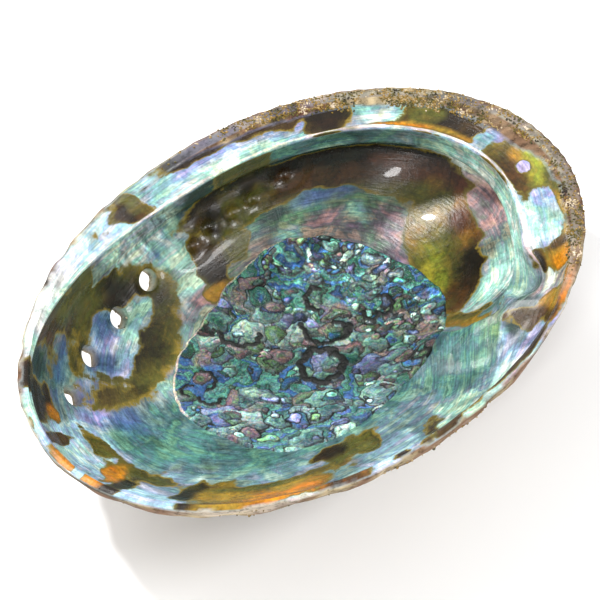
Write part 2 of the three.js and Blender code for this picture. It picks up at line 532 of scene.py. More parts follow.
# Colour patches, later ones on top: bearing, way down the zone, half-width in degrees,
# half-width in way, colour.
SHELF_PATCHES = [
    (163, 0.5, 8, 2, MINT), (130, 0.5, 16, 2, WHITE), (144, 0.5, 3, 2, MINT), (116, 0.5, 7, 2, PALE_BLUE),
    (151, 0.5, 5, 2, DARK_BROWN), (172, 0.5, 4, 2, LAVENDER), (178, 0.5, 3, 2, ORANGE),
    (126, 0.9, 14, 0.3, MINT), (95, 0.5, 8, 1.2, TURQUOISE), (72, 0.5, 17, 0.8, LAVENDER),
    (80, 0.85, 20, 0.25, MINT), (60, 0.8, 9, 0.2, TURQUOISE), (106, 0.4, 3.2, 0.55, DARK_BROWN),
    (103, 0.4, 2.4, 0.7, OLIVE), (104, 0.75, 2, 0.16, BROWN), (80, 0.0, 14, 0.2, DARK_BROWN),
    (66, 0.08, 14, 0.26, DARK_BROWN), (56, 0.14, 13, 0.4, BROWN), (50, 0.5, 7, 0.6, OLIVE),
    (51, 0.3, 6, 0.5, DARK_BROWN), (59, 0.55, 2.5, 0.3, LAVENDER), (37, 0.48, 7, 0.34, TURQUOISE),
    (39, 0.62, 7, 0.2, MINT), (34, 0.24, 5, 0.12, PALE_BLUE), (38, 0.02, 14, 0.14, OLIVE),
    (19, 0.4, 13, 0.56, DARK_BROWN), (28, 0.4, 4, 0.5, OLIVE), (22, 0.82, 11, 0.09, GOLD),
    (31, 0.86, 7, 0.06, ORANGE), (12, 0.3, 4, 0.3, BROWN), (4, 0.45, 5, 0.32, BLUE),
    (3, 0.35, 3, 0.2, LAVENDER), (4, 0.7, 5, 0.2, TURQUOISE), (-8, 0.5, 9, 0.62, OLIVE),
    (-14, 0.36, 6, 0.3, LIME), (-5, 0.5, 3, 0.2, GOLD), (-11, 0.78, 9, 0.26, BROWN),
    (-10, 0.5, 2.4, 0.15, LAVENDER), (-28, 0.1, 14, 0.2, GOLD), (-20, 0.15, 6, 0.2, OLIVE),
    (-28, 0.55, 10, 0.38, LAVENDER), (-30, 0.6, 7, 0.32, TURQUOISE), (-31, 0.7, 4, 0.2, MINT),
    (-33, 0.86, 6, 0.12, WHITE), (-41, 0.3, 3, 0.5, GOLD), (-38.5, 0.45, 1.4, 0.4, BROWN),
    (-50, 0.5, 8, 0.7, TAN), (-49, 0.65, 6, 0.2, WHITE), (-44, 0.2, 3, 0.3, ORANGE),
    (-57, 0.5, 2.5, 0.5, GOLD), (-55, 0.05, 9, 0.12, ORANGE), (-50, 0.97, 12, 0.13, DEEP_GREEN),
    (-42, 0.85, 3, 0.12, DARK_BROWN), (-62, 0.75, 6, 0.22, DEEP_GREEN), (-60, 0.6, 2.2, 0.6, BROWN),
    (-67, 0.4, 4, 0.5, LAVENDER), (-75, 0.5, 5, 0.6, WHITE), (-86, 0.5, 8, 2, MINT),
    (-97, 0.5, 4, 2, BROWN), (-109, 0.5, 8, 2, PALE_BLUE), (-121, 0.5, 4, 2, DARK_BROWN),
    (-132, 0.5, 9, 2, ORANGE), (-144, 0.5, 4, 2, GOLD), (-150, 0.5, 3, 2, DARK_BROWN),
    (-157, 0.5, 5, 2, PALE_BLUE), (-166, 0.5, 4, 2, DARK_BROWN), (-172, 0.5, 3, 2, ORANGE),
    (-177, 0.5, 2.5, 2, PALE_BLUE),
]

LIP_PATCHES = [
    (164, 0.5, 8, 2, MINT), (130, 0.5, 20, 2, WHITE), (151, 0.5, 4, 2, DARK_BROWN),
    (178, 0.5, 4, 2, ORANGE), (142, 0.0, 34, 0.24, ORANGE), (150, 0.05, 14, 0.2, BROWN),
    (125, 0.15, 5, 0.4, GOLD), (117, 0.1, 3, 0.4, ORANGE), (168, 0.2, 3, 0.4, GOLD),
    (104, 0.5, 5, 2, BROWN), (92, 0.5, 6, 2, MINT), (70, 0.5, 20, 2, BROWN), (35, 0.5, 26, 2, OLIVE),
    (18, 0.5, 9, 2, DARK_BROWN), (-12, 0.5, 26, 2, CRUST), (-3, 0.7, 6, 0.3, BROWN),
    (-50, 0.5, 10, 2, CREAM), (-58, 0.3, 5, 0.5, ORANGE), (-67, 0.5, 6, 2, LAVENDER),
    (-86, 0.5, 9, 2, MINT), (-98, 0.5, 4, 2, BROWN), (-73, 0.9, 18, 0.25, DARK_BROWN),
    (-76, 0.1, 8, 0.3, PINK), (-110, 0.5, 8, 2, PALE_BLUE), (-104, 0.8, 6, 0.4, DARK_BROWN),
    (-121, 0.5, 4, 2, DARK_BROWN), (-132, 0.5, 9, 2, ORANGE), (-128, 0.2, 5, 0.4, CREAM),
    (-144, 0.5, 4, 2, GOLD), (-150, 0.5, 3, 2, DARK_BROWN), (-157, 0.5, 5, 2, PALE_BLUE),
    (-166, 0.5, 4, 2, DARK_BROWN), (-172, 0.5, 3, 2, ORANGE), (-177, 0.5, 2.5, 2, PALE_BLUE),
]

CAVITY_PATCHES = [
    # pale anterior end, by the last pores
    (170, 0.2, 10, 0.2, PALE_BLUE), (179, 0.15, 5, 0.18, MINT), (178, 0.36, 12, 0.03, OLIVE),
    (169, 0.12, 2, 0.18, BROWN), (176, 0.47, 12, 0.07, TEAL), (160, 0.44, 8, 0.06, LAVENDER),
    (168, 0.52, 10, 0.05, BLUE), (152, 0.5, 4, 0.06, TURQUOISE), (154, 0.08, 7, 0.18, DARK_BROWN),
    (160, 0.24, 3, 0.05, ORANGE), (143, 0.28, 14, 0.06, BLUE), (138, 0.1, 11, 0.14, BROWN),
    (145, 0.12, 6, 0.13, DEEP_GREEN), (125, 0.16, 6, 0.2, OLIVE), (120, 0.34, 8, 0.07, OLIVE),
    # silver and mint streaks between the pores and the shelf
    (106, 0.16, 12, 0.2, SILVER), (112, 0.1, 3, 0.2, MINT), (100, 0.26, 5, 0.12, SILVER),
    (103, 0.4, 9, 0.09, MINT), (94, 0.46, 8, 0.08, TURQUOISE), (97, 0.56, 9, 0.12, MINT),
    (101, 0.45, 3, 0.05, BLUE), (106, 0.6, 6, 0.06, GREEN), (115, 0.7, 14, 0.08, TURQUOISE),
    (110, 0.72, 10, 0.05, MINT), (128, 0.69, 12, 0.03, PINK), (105, 0.75, 9, 0.03, PINK),
    # rolled edge of the shelf
    (86, 0.14, 9, 0.2, DEEP_GREEN), (70, 0.12, 12, 0.18, OLIVE), (42, 0.1, 26, 0.16, TEAL),
    (48, 0.16, 10, 0.05, MINT), (12, 0.12, 14, 0.2, MINT), (13, 0.32, 10, 0.08, WHITE),
    (-3, 0.3, 6, 0.1, CREAM), (-26, 0.14, 20, 0.14, MINT), (-25, 0.28, 12, 0.05, WHITE),
    (-27, 0.31, 6, 0.03, DARK_BROWN),
    # dark brown hollow under the shelf, partly horn colour and partly painted shade of the undercut
    (62, 0.42, 24, 0.08, DARK_BROWN), (38, 0.41, 26, 0.08, DARK_BROWN), (50, 0.48, 22, 0.06, BROWN),
    (12, 0.46, 16, 0.07, RUST), (30, 0.4, 8, 0.04, RUST), (78, 0.5, 8, 0.08, OLIVE),
    (82, 0.42, 4, 0.09, DARK_BROWN), (84, 0.52, 3, 0.05, DARK_BROWN),
    # gold and olive below it, near the spire
    (2, 0.58, 16, 0.1, GOLD), (-14, 0.62, 20, 0.08, OLIVE), (12, 0.54, 8, 0.06, OLIVE),
    (-20, 0.66, 16, 0.04, LIME), (-6, 0.52, 8, 0.05, RUST), (-26, 0.54, 14, 0.06, DARK_BROWN),
    (-38, 0.58, 8, 0.06, BROWN), (-44, 0.62, 6, 0.04, OLIVE),
    # spire hollow
    (-9, 0.43, 8, 0.05, TAN), (-6, 0.4, 4, 0.03, PINK), (-24, 0.43, 7, 0.06, GREY),
    (-38, 0.41, 8, 0.08, CYAN), (-36, 0.46, 7, 0.05, MINT), (-49, 0.4, 3.5, 0.12, OLIVE),
    (-52, 0.3, 3, 0.14, GOLD), (-46, 0.24, 4, 0.1, TEAL),
    # green, teal and rose streaks behind the scar
    (52, 0.58, 14, 0.05, TEAL), (48, 0.56, 9, 0.025, BLUE), (60, 0.63, 7, 0.05, GREEN),
    (34, 0.61, 12, 0.04, GREEN), (66, 0.58, 5, 0.04, DEEP_GREEN), (42, 0.64, 12, 0.02, PINK),
    (40, 0.69, 20, 0.05, PINK), (22, 0.66, 9, 0.06, PINK), (28, 0.72, 14, 0.06, ROSE),
    (35, 0.64, 5, 0.03, TURQUOISE), (22, 0.74, 8, 0.04, GREEN), (64, 0.7, 5, 0.04, TURQUOISE),
    (10, 0.74, 10, 0.04, ROSE), (-2, 0.75, 6, 0.02, LAVENDER),
    # brown and gold band between the scar and the pores
    (88, 0.62, 6, 0.12, BROWN), (93, 0.72, 7, 0.08, DARK_BROWN), (80, 0.66, 4, 0.08, OLIVE),
    (97, 0.77, 7, 0.03, GOLD), (86, 0.74, 5, 0.05, GREEN), (78, 0.75, 8, 0.025, ROSE),
    # brown ring round the pores, lavender inside
    (133, 0.52, 25, 0.17, OLIVE), (133, 0.52, 22, 0.15, DARK_BROWN), (134, 0.5, 16, 0.105, LAVENDER),
    (117, 0.42, 5, 0.08, DARK_BROWN), (139, 0.55, 10, 0.045, PALE_BLUE), (126, 0.44, 5, 0.05, BLUE),
    (121, 0.54, 5, 0.06, TURQUOISE), (131, 0.56, 4, 0.03, MINT), (143, 0.47, 4, 0.05, BLUE),
    # wall under the outer lip
    (-68, 0.15, 9, 0.24, TEAL), (-62, 0.08, 4, 0.12, GREEN), (-75, 0.3, 4, 0.1, TURQUOISE),
    (-92, 0.12, 4, 0.16, BROWN), (-96, 0.34, 9, 0.11, STEEL), (-70, 0.28, 14, 0.14, TEAL),
    (-108, 0.14, 9, 0.18, PALE_BLUE), (-88, 0.12, 4, 0.14, MINT), (-112, 0.39, 7, 0.06, OLIVE),
    (-118, 0.44, 5, 0.03, DARK_BROWN), (-133, 0.27, 13, 0.08, ORANGE), (-126, 0.33, 7, 0.04, GOLD),
    (-145, 0.3, 6, 0.07, GOLD), (-140, 0.12, 18, 0.1, BROWN), (-137, 0.36, 14, 0.02, OLIVE),
    (-160, 0.2, 9, 0.16, PALE_BLUE), (-153, 0.32, 3, 0.08, DARK_BROWN), (-163, 0.37, 8, 0.025, OLIVE),
    (-168, 0.24, 3, 0.12, DARK_BROWN), (-173, 0.26, 2, 0.1, ORANGE), (-178, 0.14, 5, 0.16, PALE_BLUE),
]


PATCH_SOFT = 0.6
PATCH_RAGGED = 1.1


def is_horny(tint):
    """True for the browns and golds of bare conchiolin, false for nacre colours."""
    return any(tint is colour for colour in (DARK_BROWN, BROWN, RUST, OLIVE, GOLD, ORANGE, LIME))


def paint(angle, way, ground, patches, points, seed):
    """Lays the patches down in two layers: nacre colour, horn colour (under the shelf also painted
    shade), and the horn layer's share, which the material turns into crisp ragged edges."""
    nacre, horny, share = (np.array(layer) for layer in ground)
    angle = angle + np.radians(4) * Grain(seed + 7).rough(points, 15, 2)
    way = way + 0.03 * Grain(seed + 8).rough(points, 15, 2)
    edges = [Grain(seed + i).rough(points, 5.5, 5) for i in range(6)]
    for number, (bearing, middle, wide, tall, tint) in enumerate(patches):
        distance = np.hypot(bearing_gap(angle, bearing) / wide, (way - middle) / tall)
        distance = distance + PATCH_RAGGED * min(1, 9 / wide) * edges[number % len(edges)]
        mask = 1 - ease(distance, 1 - PATCH_SOFT, 1 + PATCH_SOFT)
        if is_horny(tint):
            horny = horny + (tint - horny) * mask[..., None]
            share = share + (1 - share) * mask
        else:
            nacre = nacre + (tint - nacre) * mask[..., None]
            share = share * (1 - mask)
    return nacre, horny, share


def plain_ground(angle, nacre, horny):
    blank = np.zeros(angle.shape + (3,))
    return blank + nacre, blank + horny, np.zeros(angle.shape)


def bands(way, stops):
    """Colour that changes smoothly from stop to stop down the wall."""
    places = [place for place, _ in stops]
    tints = np.array([tint for _, tint in stops])
    return np.stack([np.interp(way, places, tints[:, i]) for i in range(3)], -1)


def cavity_ground(angle, way):
    """Broad bands: steel and teal by the lip, dark brown then gold or rose under the shelf; the dark brown
    next to the shelf is horn colour deepened as painted shade of the undercut.
    """
    lip_wall = bands(way, [(0.0, STEEL * 1.3), (0.3, STEEL * 0.85), (0.42, STEEL * 1.1), (0.5, TEAL)])
    pore_wall = bands(way, [(0.0, STEEL), (0.25, SILVER), (0.45, TURQUOISE), (0.65, MINT), (0.8, PINK)])
    back_wall = bands(way, [
        (0.1, TEAL), (0.33, DEEP_GREEN), (0.55, GREEN), (0.62, TEAL), (0.68, ROSE), (0.76, PINK),
    ])
    spire_wall = bands(way, [(0.1, MINT), (0.34, CREAM), (0.42, TAN), (0.66, GREEN), (0.72, ROSE)])
    # Painted shade over horn colour: darkest right under the shelf's overhang, lighter further down the
    # wall.
    horn_and_undercut_shade = bands(way, [(0.36, DARK_BROWN), (0.46, BROWN), (0.54, OLIVE)])
    warm_horn = bands(way, [(0.36, DARK_BROWN), (0.47, RUST), (0.56, GOLD), (0.66, OLIVE)])
    back = swell(angle, 95, 85) - swell(angle, 22, 6)
    spire = swell(angle, 22, 6) - swell(angle, -42, -50)
    nacre = lip_wall
    pore_side = swell(angle, 172, 150) - swell(angle, 95, 85)
    for wall, share in ((pore_wall, pore_side), (back_wall, back), (spire_wall, spire)):
        nacre = nacre + (wall - nacre) * share[..., None]
    horny = horn_and_undercut_shade + (warm_horn - horn_and_undercut_shade) * spire[..., None]
    share = back * ease(way, 0.3, 0.38) * (1 - ease(way, 0.5, 0.62))
    share = share + spire * ease(way, 0.46, 0.52) * (1 - ease(way, 0.6, 0.74))
    return nacre, horny, share


def skin_colours(points, angle, zone, way):
    """Nacre colour, horn colour (with painted shade under the shelf) and the horn layer's share all over
    the skin.
    """
    shelf_way = np.where(zone == LIP, 0, way)
    shelf = paint(angle, shelf_way, plain_ground(angle, PALE_BLUE, BROWN), SHELF_PATCHES, points, 23)
    cavity = paint(angle, way, cavity_ground(angle, way), CAVITY_PATCHES, points, 31)
    lip = paint(angle, way, plain_ground(angle, PALE_BLUE, BROWN), LIP_PATCHES, points, 41)
    edge = np.exp(-((way - 0.94) / 0.035) ** 2) * shelf_part(angle) * 0.85
    shelf = [
        shelf[0] + (CREAM * 1.1 - shelf[0]) * edge[..., None], shelf[1], shelf[2] * (1 - edge),
    ]
    inward = ease(way, 0.05, 0.4) * shelf_part(angle)
    fleck = crust_grain.rough(points, 3, 3)[..., None]
    worn = np.clip(0.25 + 1.3 * warp_grain.rough(points, 14, 3), 0, 1)[..., None]
    chalk = CRUST * (1 + 0.5 * fleck)
    ribs, ledge, _ = back_pattern(points, angle, way)
    back = chalk + (BROWN - chalk) * worn
    back = back + (RUST * 1.6 - back) * 0.75 * ease(ledge, -0.05, 0.35)[..., None]
    back = back * (0.85 + 0.25 * ribs[..., None])
    back = back + (CREAM - back) * 0.6 * ease(crust_grain.rough(points, 16, 3), 0.15, 0.4)[..., None]
    made = []
    for layer, outside in enumerate((back, back, np.zeros(angle.shape))):
        blend = inward if layer == 2 else inward[..., None]
        on_lip = lip[layer] + (shelf[layer] - lip[layer]) * blend
        pick = [zone == CAVITY, zone == SHELF, zone == LIP]
        if layer < 2:
            pick = [choice[..., None] for choice in pick]
        made.append(np.clip(np.select(pick, [cavity[layer], shelf[layer], on_lip], outside), 0, 1))
    limy = (crust_amount(points, angle, zone, way) * (zone != OUTSIDE))[..., None]
    made[0] = made[0] + (np.clip(back, 0, 1) - made[0]) * limy
    return made


def crust_amount(points, angle, zone, way):
    """1 on the limy back, 0 on nacre; grains creep over the shelf's outer edge."""
    grains = crust_grain.rough(points, 4, 3)
    reach = 0.0 + 0.26 * swell(angle, 100, 60) * (1 - swell(angle, 0, -20))
    reach = reach + 0.1 * swell(angle, 14, 2) * (1 - swell(angle, -34, -44))
    on_shelf = 1 - ease(way, reach - 0.04 + 0.1 * grains, reach + 0.06 + 0.1 * grains)
    amount = np.where(zone == SHELF, on_shelf * shelf_part(angle), 0)
    on_lip = ease(0.35 + 0.3 * grains - way, 0, 0.2)
    on_lip = on_lip + 0.8 * swell(angle, 95, 60) * (1 - swell(angle, -45, -60))
    amount = np.where(zone == LIP, np.clip(on_lip, 0, 1), amount)
    return np.where(zone == OUTSIDE, 1.0, amount)


# ---------------------------------------------------------------- shader tools

class Value:
    """A shader socket that takes part in Python arithmetic."""

    def __init__(self, paint_box, socket):
        self.paint_box = paint_box
        self.socket = socket

    def math(self, operation, *others):
        return self.paint_box.node("ShaderNodeMath", {"operation": operation}, [self, *others])

    def __add__(self, other):
        return self.math("ADD", other)

    __radd__ = __add__

    def __sub__(self, other):
        return self.math("SUBTRACT", other)

    def __rsub__(self, other):
        return self.paint_box.node("ShaderNodeMath", {"operation": "SUBTRACT"}, [other, self])

    def __mul__(self, other):
        return self.math("MULTIPLY", other)

    __rmul__ = __mul__


class PaintBox:
    """Makes the nodes of one material."""

    def __init__(self, name):
        self.material = bpy.data.materials.new(name)
        self.material.use_nodes = True
        self.tree = self.material.node_tree
        self.tree.nodes.clear()

    def node(self, kind, settings=None, inputs=None, output=0):
        made = self.tree.nodes.new(kind)
        for key, value in (settings or {}).items():
            if key == "stops":
                self.set_stops(made.color_ramp, value)
            else:
                setattr(made, key, value)
        pairs = inputs.items() if isinstance(inputs, dict) else enumerate(inputs or [])
        for key, value in pairs:
            if isinstance(value, Value):
                self.tree.links.new(value.socket, made.inputs[key])
            else:
                made.inputs[key].default_value = value
        return Value(self, made.outputs[output]) if len(made.outputs) else None

    @staticmethod
    def set_stops(ramp, stops):
        while len(ramp.elements) < len(stops):
            ramp.elements.new(1.0)
        for element, (place, colour) in zip(ramp.elements, stops):
            element.position = place
            element.color = (*colour, 1.0)

    def attribute(self, name, output=2):
        return self.node("ShaderNodeAttribute", {"attribute_name": name}, output=output)

    def place(self):
        return self.node("ShaderNodeTexCoord", output=3)

    def noise(self, scale, detail=4.0, rough=0.55, warp=0.0, vector=None, output=0):
        inputs = {"Scale": scale, "Detail": detail, "Roughness": rough, "Distortion": warp}
        inputs["Vector"] = vector or self.place()
        return self.node("ShaderNodeTexNoise", {}, inputs, output)

    def ramp(self, value, stops):
        return self.node("ShaderNodeValToRGB", {"stops": stops}, [value])

    def range(self, value, low, high, to_low=0.0, to_high=1.0):
        inputs = {"Value": value, "From Min": low, "From Max": high, "To Min": to_low, "To Max": to_high}
        return self.node("ShaderNodeMapRange", {"clamp": True}, inputs)

    def mix(self, share, first, second, blend="MIX"):
        settings = {"data_type": "RGBA", "blend_type": blend, "clamp_result": False}
        start, end = (c if isinstance(c, Value) else (*c, 1.0) for c in (first, second))
        return self.node("ShaderNodeMix", settings, {0: share, 6: start, 7: end}, output=2)

    def tone(self, colour, hue=0.5, saturation=1.0, value=1.0):
        inputs = {"Hue": hue, "Saturation": saturation, "Value": value, "Fac": 1.0, "Color": colour}
        return self.node("ShaderNodeHueSaturation", {}, inputs)

    def bump(self, height, strength, distance, normal=None):
        inputs = {"Height": height, "Strength": strength, "Distance": distance}
        if normal:
            inputs["Normal"] = normal
        return self.node("ShaderNodeBump", {}, inputs)

    def surface(self, **inputs):
        named = {key.replace("_", " "): value for key, value in inputs.items()}
        shader = self.node("ShaderNodeBsdfPrincipled", {}, named)
        self.node("ShaderNodeOutputMaterial", {}, {"Surface": shader})
        return self.material


def growth_vector(box):
    """Coordinates that run with the growth lines: fine across them, long along them."""
    return box.node("ShaderNodeCombineXYZ", {}, [box.attribute("growth"), box.attribute("along"), 0.0])


IRIS = [
    (0.30, srgb(84, 84, 96)), (0.37, srgb(112, 158, 140)),
    (0.43, srgb(214, 214, 184)), (0.48, srgb(110, 168, 172)),
    (0.53, srgb(122, 128, 170)), (0.58, srgb(206, 172, 186)),
    (0.64, srgb(196, 180, 150)), (0.72, srgb(104, 150, 104)),
]


def shimmer(box, lines):
    """Colour play of nacre: broad flames crossed by streaks along the growth lines."""
    flame = box.noise(75.0, 5, 0.62, 1.6)
    streak = box.noise(1.0, 4, 0.6, 0.4, lines)
    return box.ramp(flame * 0.6 + streak * 0.4, IRIS)


def skin_material():
    """Nacre inside with bare horn patches and painted shade under the shelf, and limy crust outside, on
    one skin.
    """
    box = PaintBox("abalone_shell")
    crust = box.attribute("crust")
    lines = growth_vector(box)
    fine_lines = box.noise(4.0, 4, 0.65, 0.2, lines)
    across = box.node("ShaderNodeCombineXYZ", {}, [
        box.attribute("growth") * 0.2, box.attribute("along") * 26, 0.0,
    ])
    # Painted highlight streaks that run across the growth lines by the pores.
    rays = box.range(box.noise(1.0, 3, 0.6, 0.5, across), 0.36, 0.64, 0.4, 2.0)
    rays = 1 + (rays - 1) * box.attribute("rays")
    cloud = box.noise(130.0, 6, 0.68, 0.8)
    speck = box.noise(950.0, 4, 0.7, 0.3)
    light = box.range(cloud, 0.32, 0.68, 0.42, 1.7) * box.range(fine_lines, 0.32, 0.68, 0.6, 1.45)
    light = light * box.range(speck, 0.3, 0.7, 0.75, 1.3) * rays
    nacre = box.mix(0.75, box.attribute("nacre", 0), shimmer(box, lines), "OVERLAY")
    nacre = box.tone(box.mix(1.0, nacre, light, "MULTIPLY"), 0.494, 0.84, 0.94)
    ragged = box.attribute("share") + (cloud - 0.5) * 0.9 + (fine_lines - 0.5) * 0.4 + (speck - 0.5) * 0.4
    horny = box.mix(0.35, box.attribute("horny", 0), shimmer(box, lines), "OVERLAY")
    horny = box.mix(1.0, horny, box.range(speck * 0.5 + cloud * 0.5, 0.35, 0.65, 0.4, 1.7), "MULTIPLY")
    fringe = box.mix(box.range(cloud, 0.42, 0.58), tuple(srgb(132, 112, 40)), tuple(srgb(88, 84, 34)))
    bare = box.mix(box.range(ragged, 0.26, 0.42), nacre, fringe)
    bare = box.mix(box.range(ragged, 0.42, 0.66), bare, horny)
    grains = box.noise(480.0, 6, 0.75)
    dark_pits = box.range(grains, 0.38, 0.5)
    tint = box.attribute("nacre", 0)
    limy = box.mix(dark_pits, box.tone(tint, 0.5, 1.1, 0.42), box.tone(tint, 0.5, 0.9, 1.2))
    colour = box.mix(crust, bare, limy)
    rough = 0.2 + 0.14 * cloud + crust * 0.55
    fine = fine_lines * 0.5 + cloud * 0.7 + speck * 0.12
    smooth_bump = box.bump(fine, 0.3, 0.0009)
    grain_bump = box.bump(grains * crust, 0.9, 0.0012, smooth_bump)
    return box.surface(
        Base_Color=colour, Roughness=rough, Normal=grain_bump,
        Coat_Weight=(1 - crust) * 0.25, Coat_Roughness=0.06, IOR=1.42,
    )


def scar_material():
    """Rough iridescent islands with dark outlines."""
    box = PaintBox("muscle_scar")
    tint = box.attribute("tint", 0)
    ink = box.attribute("ink")
    flame = box.noise(330.0, 5, 0.65, 1.8)
    speck = box.noise(1500.0, 3, 0.7)
    nacre = box.mix(0.7, tint, box.ramp(flame, IRIS), "OVERLAY")
    light = box.range(speck, 0.3, 0.7, 0.6, 1.5) * box.range(box.noise(520.0, 4, 0.7), 0.3, 0.7, 0.55, 1.7)
    colour = box.mix(1.0, nacre, light, "MULTIPLY")
    bump = box.bump(speck * 0.6 + flame, 0.6, 0.0006)
    return box.surface(
        Base_Color=colour, Roughness=0.2 + ink * 0.35, Normal=bump,
        Coat_Weight=(1 - ink) * 0.3, Coat_Roughness=0.12, IOR=1.45,
    )


# ---------------------------------------------------------------- the pieces

def build_shell():
    points, angle, zone, way = skin_grid()
    rim_relief(points, angle, zone, way)
    shelf_relief(points, angle, zone, way)
    normals = grid_normals(points)
    growth_relief(points, normals, angle, zone, way)
    back_relief(points, normals, angle, zone, way)
    pore_relief(points, normals, zone)
    wear_back(points)
    rows = len(points)
    poles = np.array([points[0].mean(0), points[-1].mean(0)])
    flat = np.concatenate([points.reshape(-1, 3), poles])
    piece = new_mesh_object("shell_skin", to_frame(flat), skin_faces(rows))
    nacre, horny, share = skin_colours(points, angle, zone, way)
    crust = crust_amount(points, angle, zone, way)
    growth = np.where(zone == CAVITY, way * 30, way * 6 + 40)
    along = bearing_of(angle) / 34
    # Painted highlight streaks: rays across the growth lines by the pores, which the material lightens and
    # darkens.
    rays = np.exp(-(bearing_gap(angle, 105) / 12) ** 2) * (zone == CAVITY) * (1 - ease(way, 0.3, 0.55))
    lime = lime_amount(points, angle, zone, way)
    layers = {
        "nacre": nacre, "horny": horny, "share": share, "crust": crust, "growth": growth,
        "along": along, "rays": rays, "lime": lime,
    }
    layers = {name: with_poles(values) for name, values in layers.items()}
    cut_pores(piece)
    carry_layers(piece, to_frame(flat), layers)
    scar = build_scar(to_frame(flat), skin_faces(rows))
    piece.data.polygons.foreach_set("use_smooth", np.ones(len(piece.data.polygons), bool))
    piece.data.materials.clear()
    piece.data.materials.append(skin_material())
    return piece, scar, build_grains(piece)


def with_poles(values):
    """One value per point of the skin: the grid's, then the two poles'."""
    return np.concatenate([values.reshape(-1, *values.shape[2:]), values[[0, -1], 0]])


def carry_layers(piece, sources, layers):
    """Gives each of the cut mesh's points the values of the nearest point of the whole skin."""
    tree = kdtree.KDTree(len(sources))
    for index, point in enumerate(sources.tolist()):
        tree.insert(point, index)
    tree.balance()
    nearest = np.array([tree.find(point)[1] for point in mesh_points(piece).tolist()])
    for old in list(piece.data.attributes):
        if old.name in layers:
            piece.data.attributes.remove(old)
    for name, values in layers.items():
        picked = values[nearest]
        if picked.ndim == 2:
            picked = np.concatenate([picked, np.ones((len(picked), 1))], 1)
            set_attribute(piece, name, picked, "FLOAT_COLOR")
        else:
            set_attribute(piece, name, picked)


# ---------------------------------------------------------------- lime grains

GRAIN_DENSITY = 5000000.0
GRAIN_SIZE = 0.00038


def grain_tree(material):
    """Scatters grains of lime where the skin's "lime" value is high."""
    tree = bpy.data.node_groups.new("lime_grains", "GeometryNodeTree")
    face = tree.interface
    face.new_socket("Skin", in_out="INPUT", socket_type="NodeSocketGeometry")
    face.new_socket("Density", in_out="INPUT", socket_type="NodeSocketFloat")
    face.new_socket("Size", in_out="INPUT", socket_type="NodeSocketFloat")
    face.new_socket("Grains", in_out="OUTPUT", socket_type="NodeSocketGeometry")

    def node(kind, **settings):
        made = tree.nodes.new(kind)
        for key, value in settings.items():
            setattr(made, key, value)
        return made

    def link(start, output, end, socket):
        tree.links.new(start.outputs[output], end.inputs[socket])

    entry, leave = node("NodeGroupInput"), node("NodeGroupOutput")
    lime = node("GeometryNodeInputNamedAttribute", data_type="FLOAT")
    lime.inputs["Name"].default_value = "lime"
    share = node("ShaderNodeMath", operation="MULTIPLY")
    link(entry, "Density", share, 0)
    link(lime, "Attribute", share, 1)
    scatter = node("GeometryNodeDistributePointsOnFaces")
    scatter.inputs["Seed"].default_value = 5
    link(entry, "Skin", scatter, "Mesh")
    link(share, 0, scatter, "Density")
    lump = node("GeometryNodeMeshIcoSphere")
    lump.inputs["Subdivisions"].default_value = 1
    link(entry, "Size", lump, "Radius")
    turn = node("FunctionNodeRandomValue", data_type="FLOAT_VECTOR")
    turn.inputs[1].default_value = (6.28, 6.28, 6.28)
    turn.inputs["Seed"].default_value = 6
    stretch = node("FunctionNodeRandomValue", data_type="FLOAT_VECTOR")
    stretch.inputs[0].default_value = (0.4, 0.4, 0.25)
    stretch.inputs[1].default_value = (1.4, 1.2, 0.9)
    stretch.inputs["Seed"].default_value = 7
    copies = node("GeometryNodeInstanceOnPoints")
    link(scatter, "Points", copies, "Points")
    link(lump, "Mesh", copies, "Instance")
    link(turn, 0, copies, "Rotation")
    link(stretch, 0, copies, "Scale")
    real = node("GeometryNodeRealizeInstances")
    link(copies, "Instances", real, "Geometry")
    coat = node("GeometryNodeSetMaterial")
    coat.inputs["Material"].default_value = material
    link(real, "Geometry", coat, "Geometry")
    link(coat, "Geometry", leave, "Grains")
    return tree


def lime_material():
    box = PaintBox("lime_grains")
    shade = box.ramp(box.noise(260.0, 4, 0.7), [
        (0.36, DARK_BROWN), (0.45, OLIVE), (0.52, GOLD * 0.8), (0.58, CRUST), (0.66, CREAM),
    ])
    return box.surface(Base_Color=shade, Roughness=0.55)


def build_grains(skin):
    """Real lime grains, made from the skin and kept as a mesh of their own."""
    piece = bpy.data.objects.new("lime_grains", skin.data.copy())
    bpy.context.scene.collection.objects.link(piece)
    tree = grain_tree(lime_material())
    scatter = piece.modifiers.new("grains", "NODES")
    scatter.node_group = tree
    settings = {"Density": GRAIN_DENSITY, "Size": GRAIN_SIZE}
    for socket in tree.interface.items_tree:
        if socket.name in settings:
            scatter[socket.identifier] = settings[socket.name]
    piece.update_tag()
    bpy.context.view_layer.update()
    mesh = bpy.data.meshes.new_from_object(piece.evaluated_get(bpy.context.evaluated_depsgraph_get()))
    piece.modifiers.clear()
    old = piece.data
    piece.data = mesh
    bpy.data.meshes.remove(old)
    return piece


def lime_amount(points, angle, zone, way):
    """Where grains lie: the shelf's outer edge by the spire, the lip there, and dots on the back."""
    by_spire = swell(angle, 92, 66) * (1 - swell(angle, -42, -54))
    clumps = ease(crust_grain.rough(points, 5, 3), -0.25, 0.25)
    reach = 0.16 + 0.26 * swell(angle, 70, 40) * (1 - swell(angle, 8, -2))
    shelf = by_spire * (1 - ease(way, reach * 0.6, reach)) * clumps
    lip = by_spire * (0.3 + 0.5 * clumps) * (1 - ease(way, 0.1, 0.9) * 0.5)
    clear = ease(points[..., 2], -36, -30) * (1 - ease(points[..., 2], -3, -1))
    back = 0.05 * ease(warp_grain.rough(points, 18, 3), 0.0, 0.4) * clear
    return np.select([zone == SHELF, zone == LIP, zone == OUTSIDE], [shelf, lip, back], 0.0)


# ---------------------------------------------------------------- the muscle scar

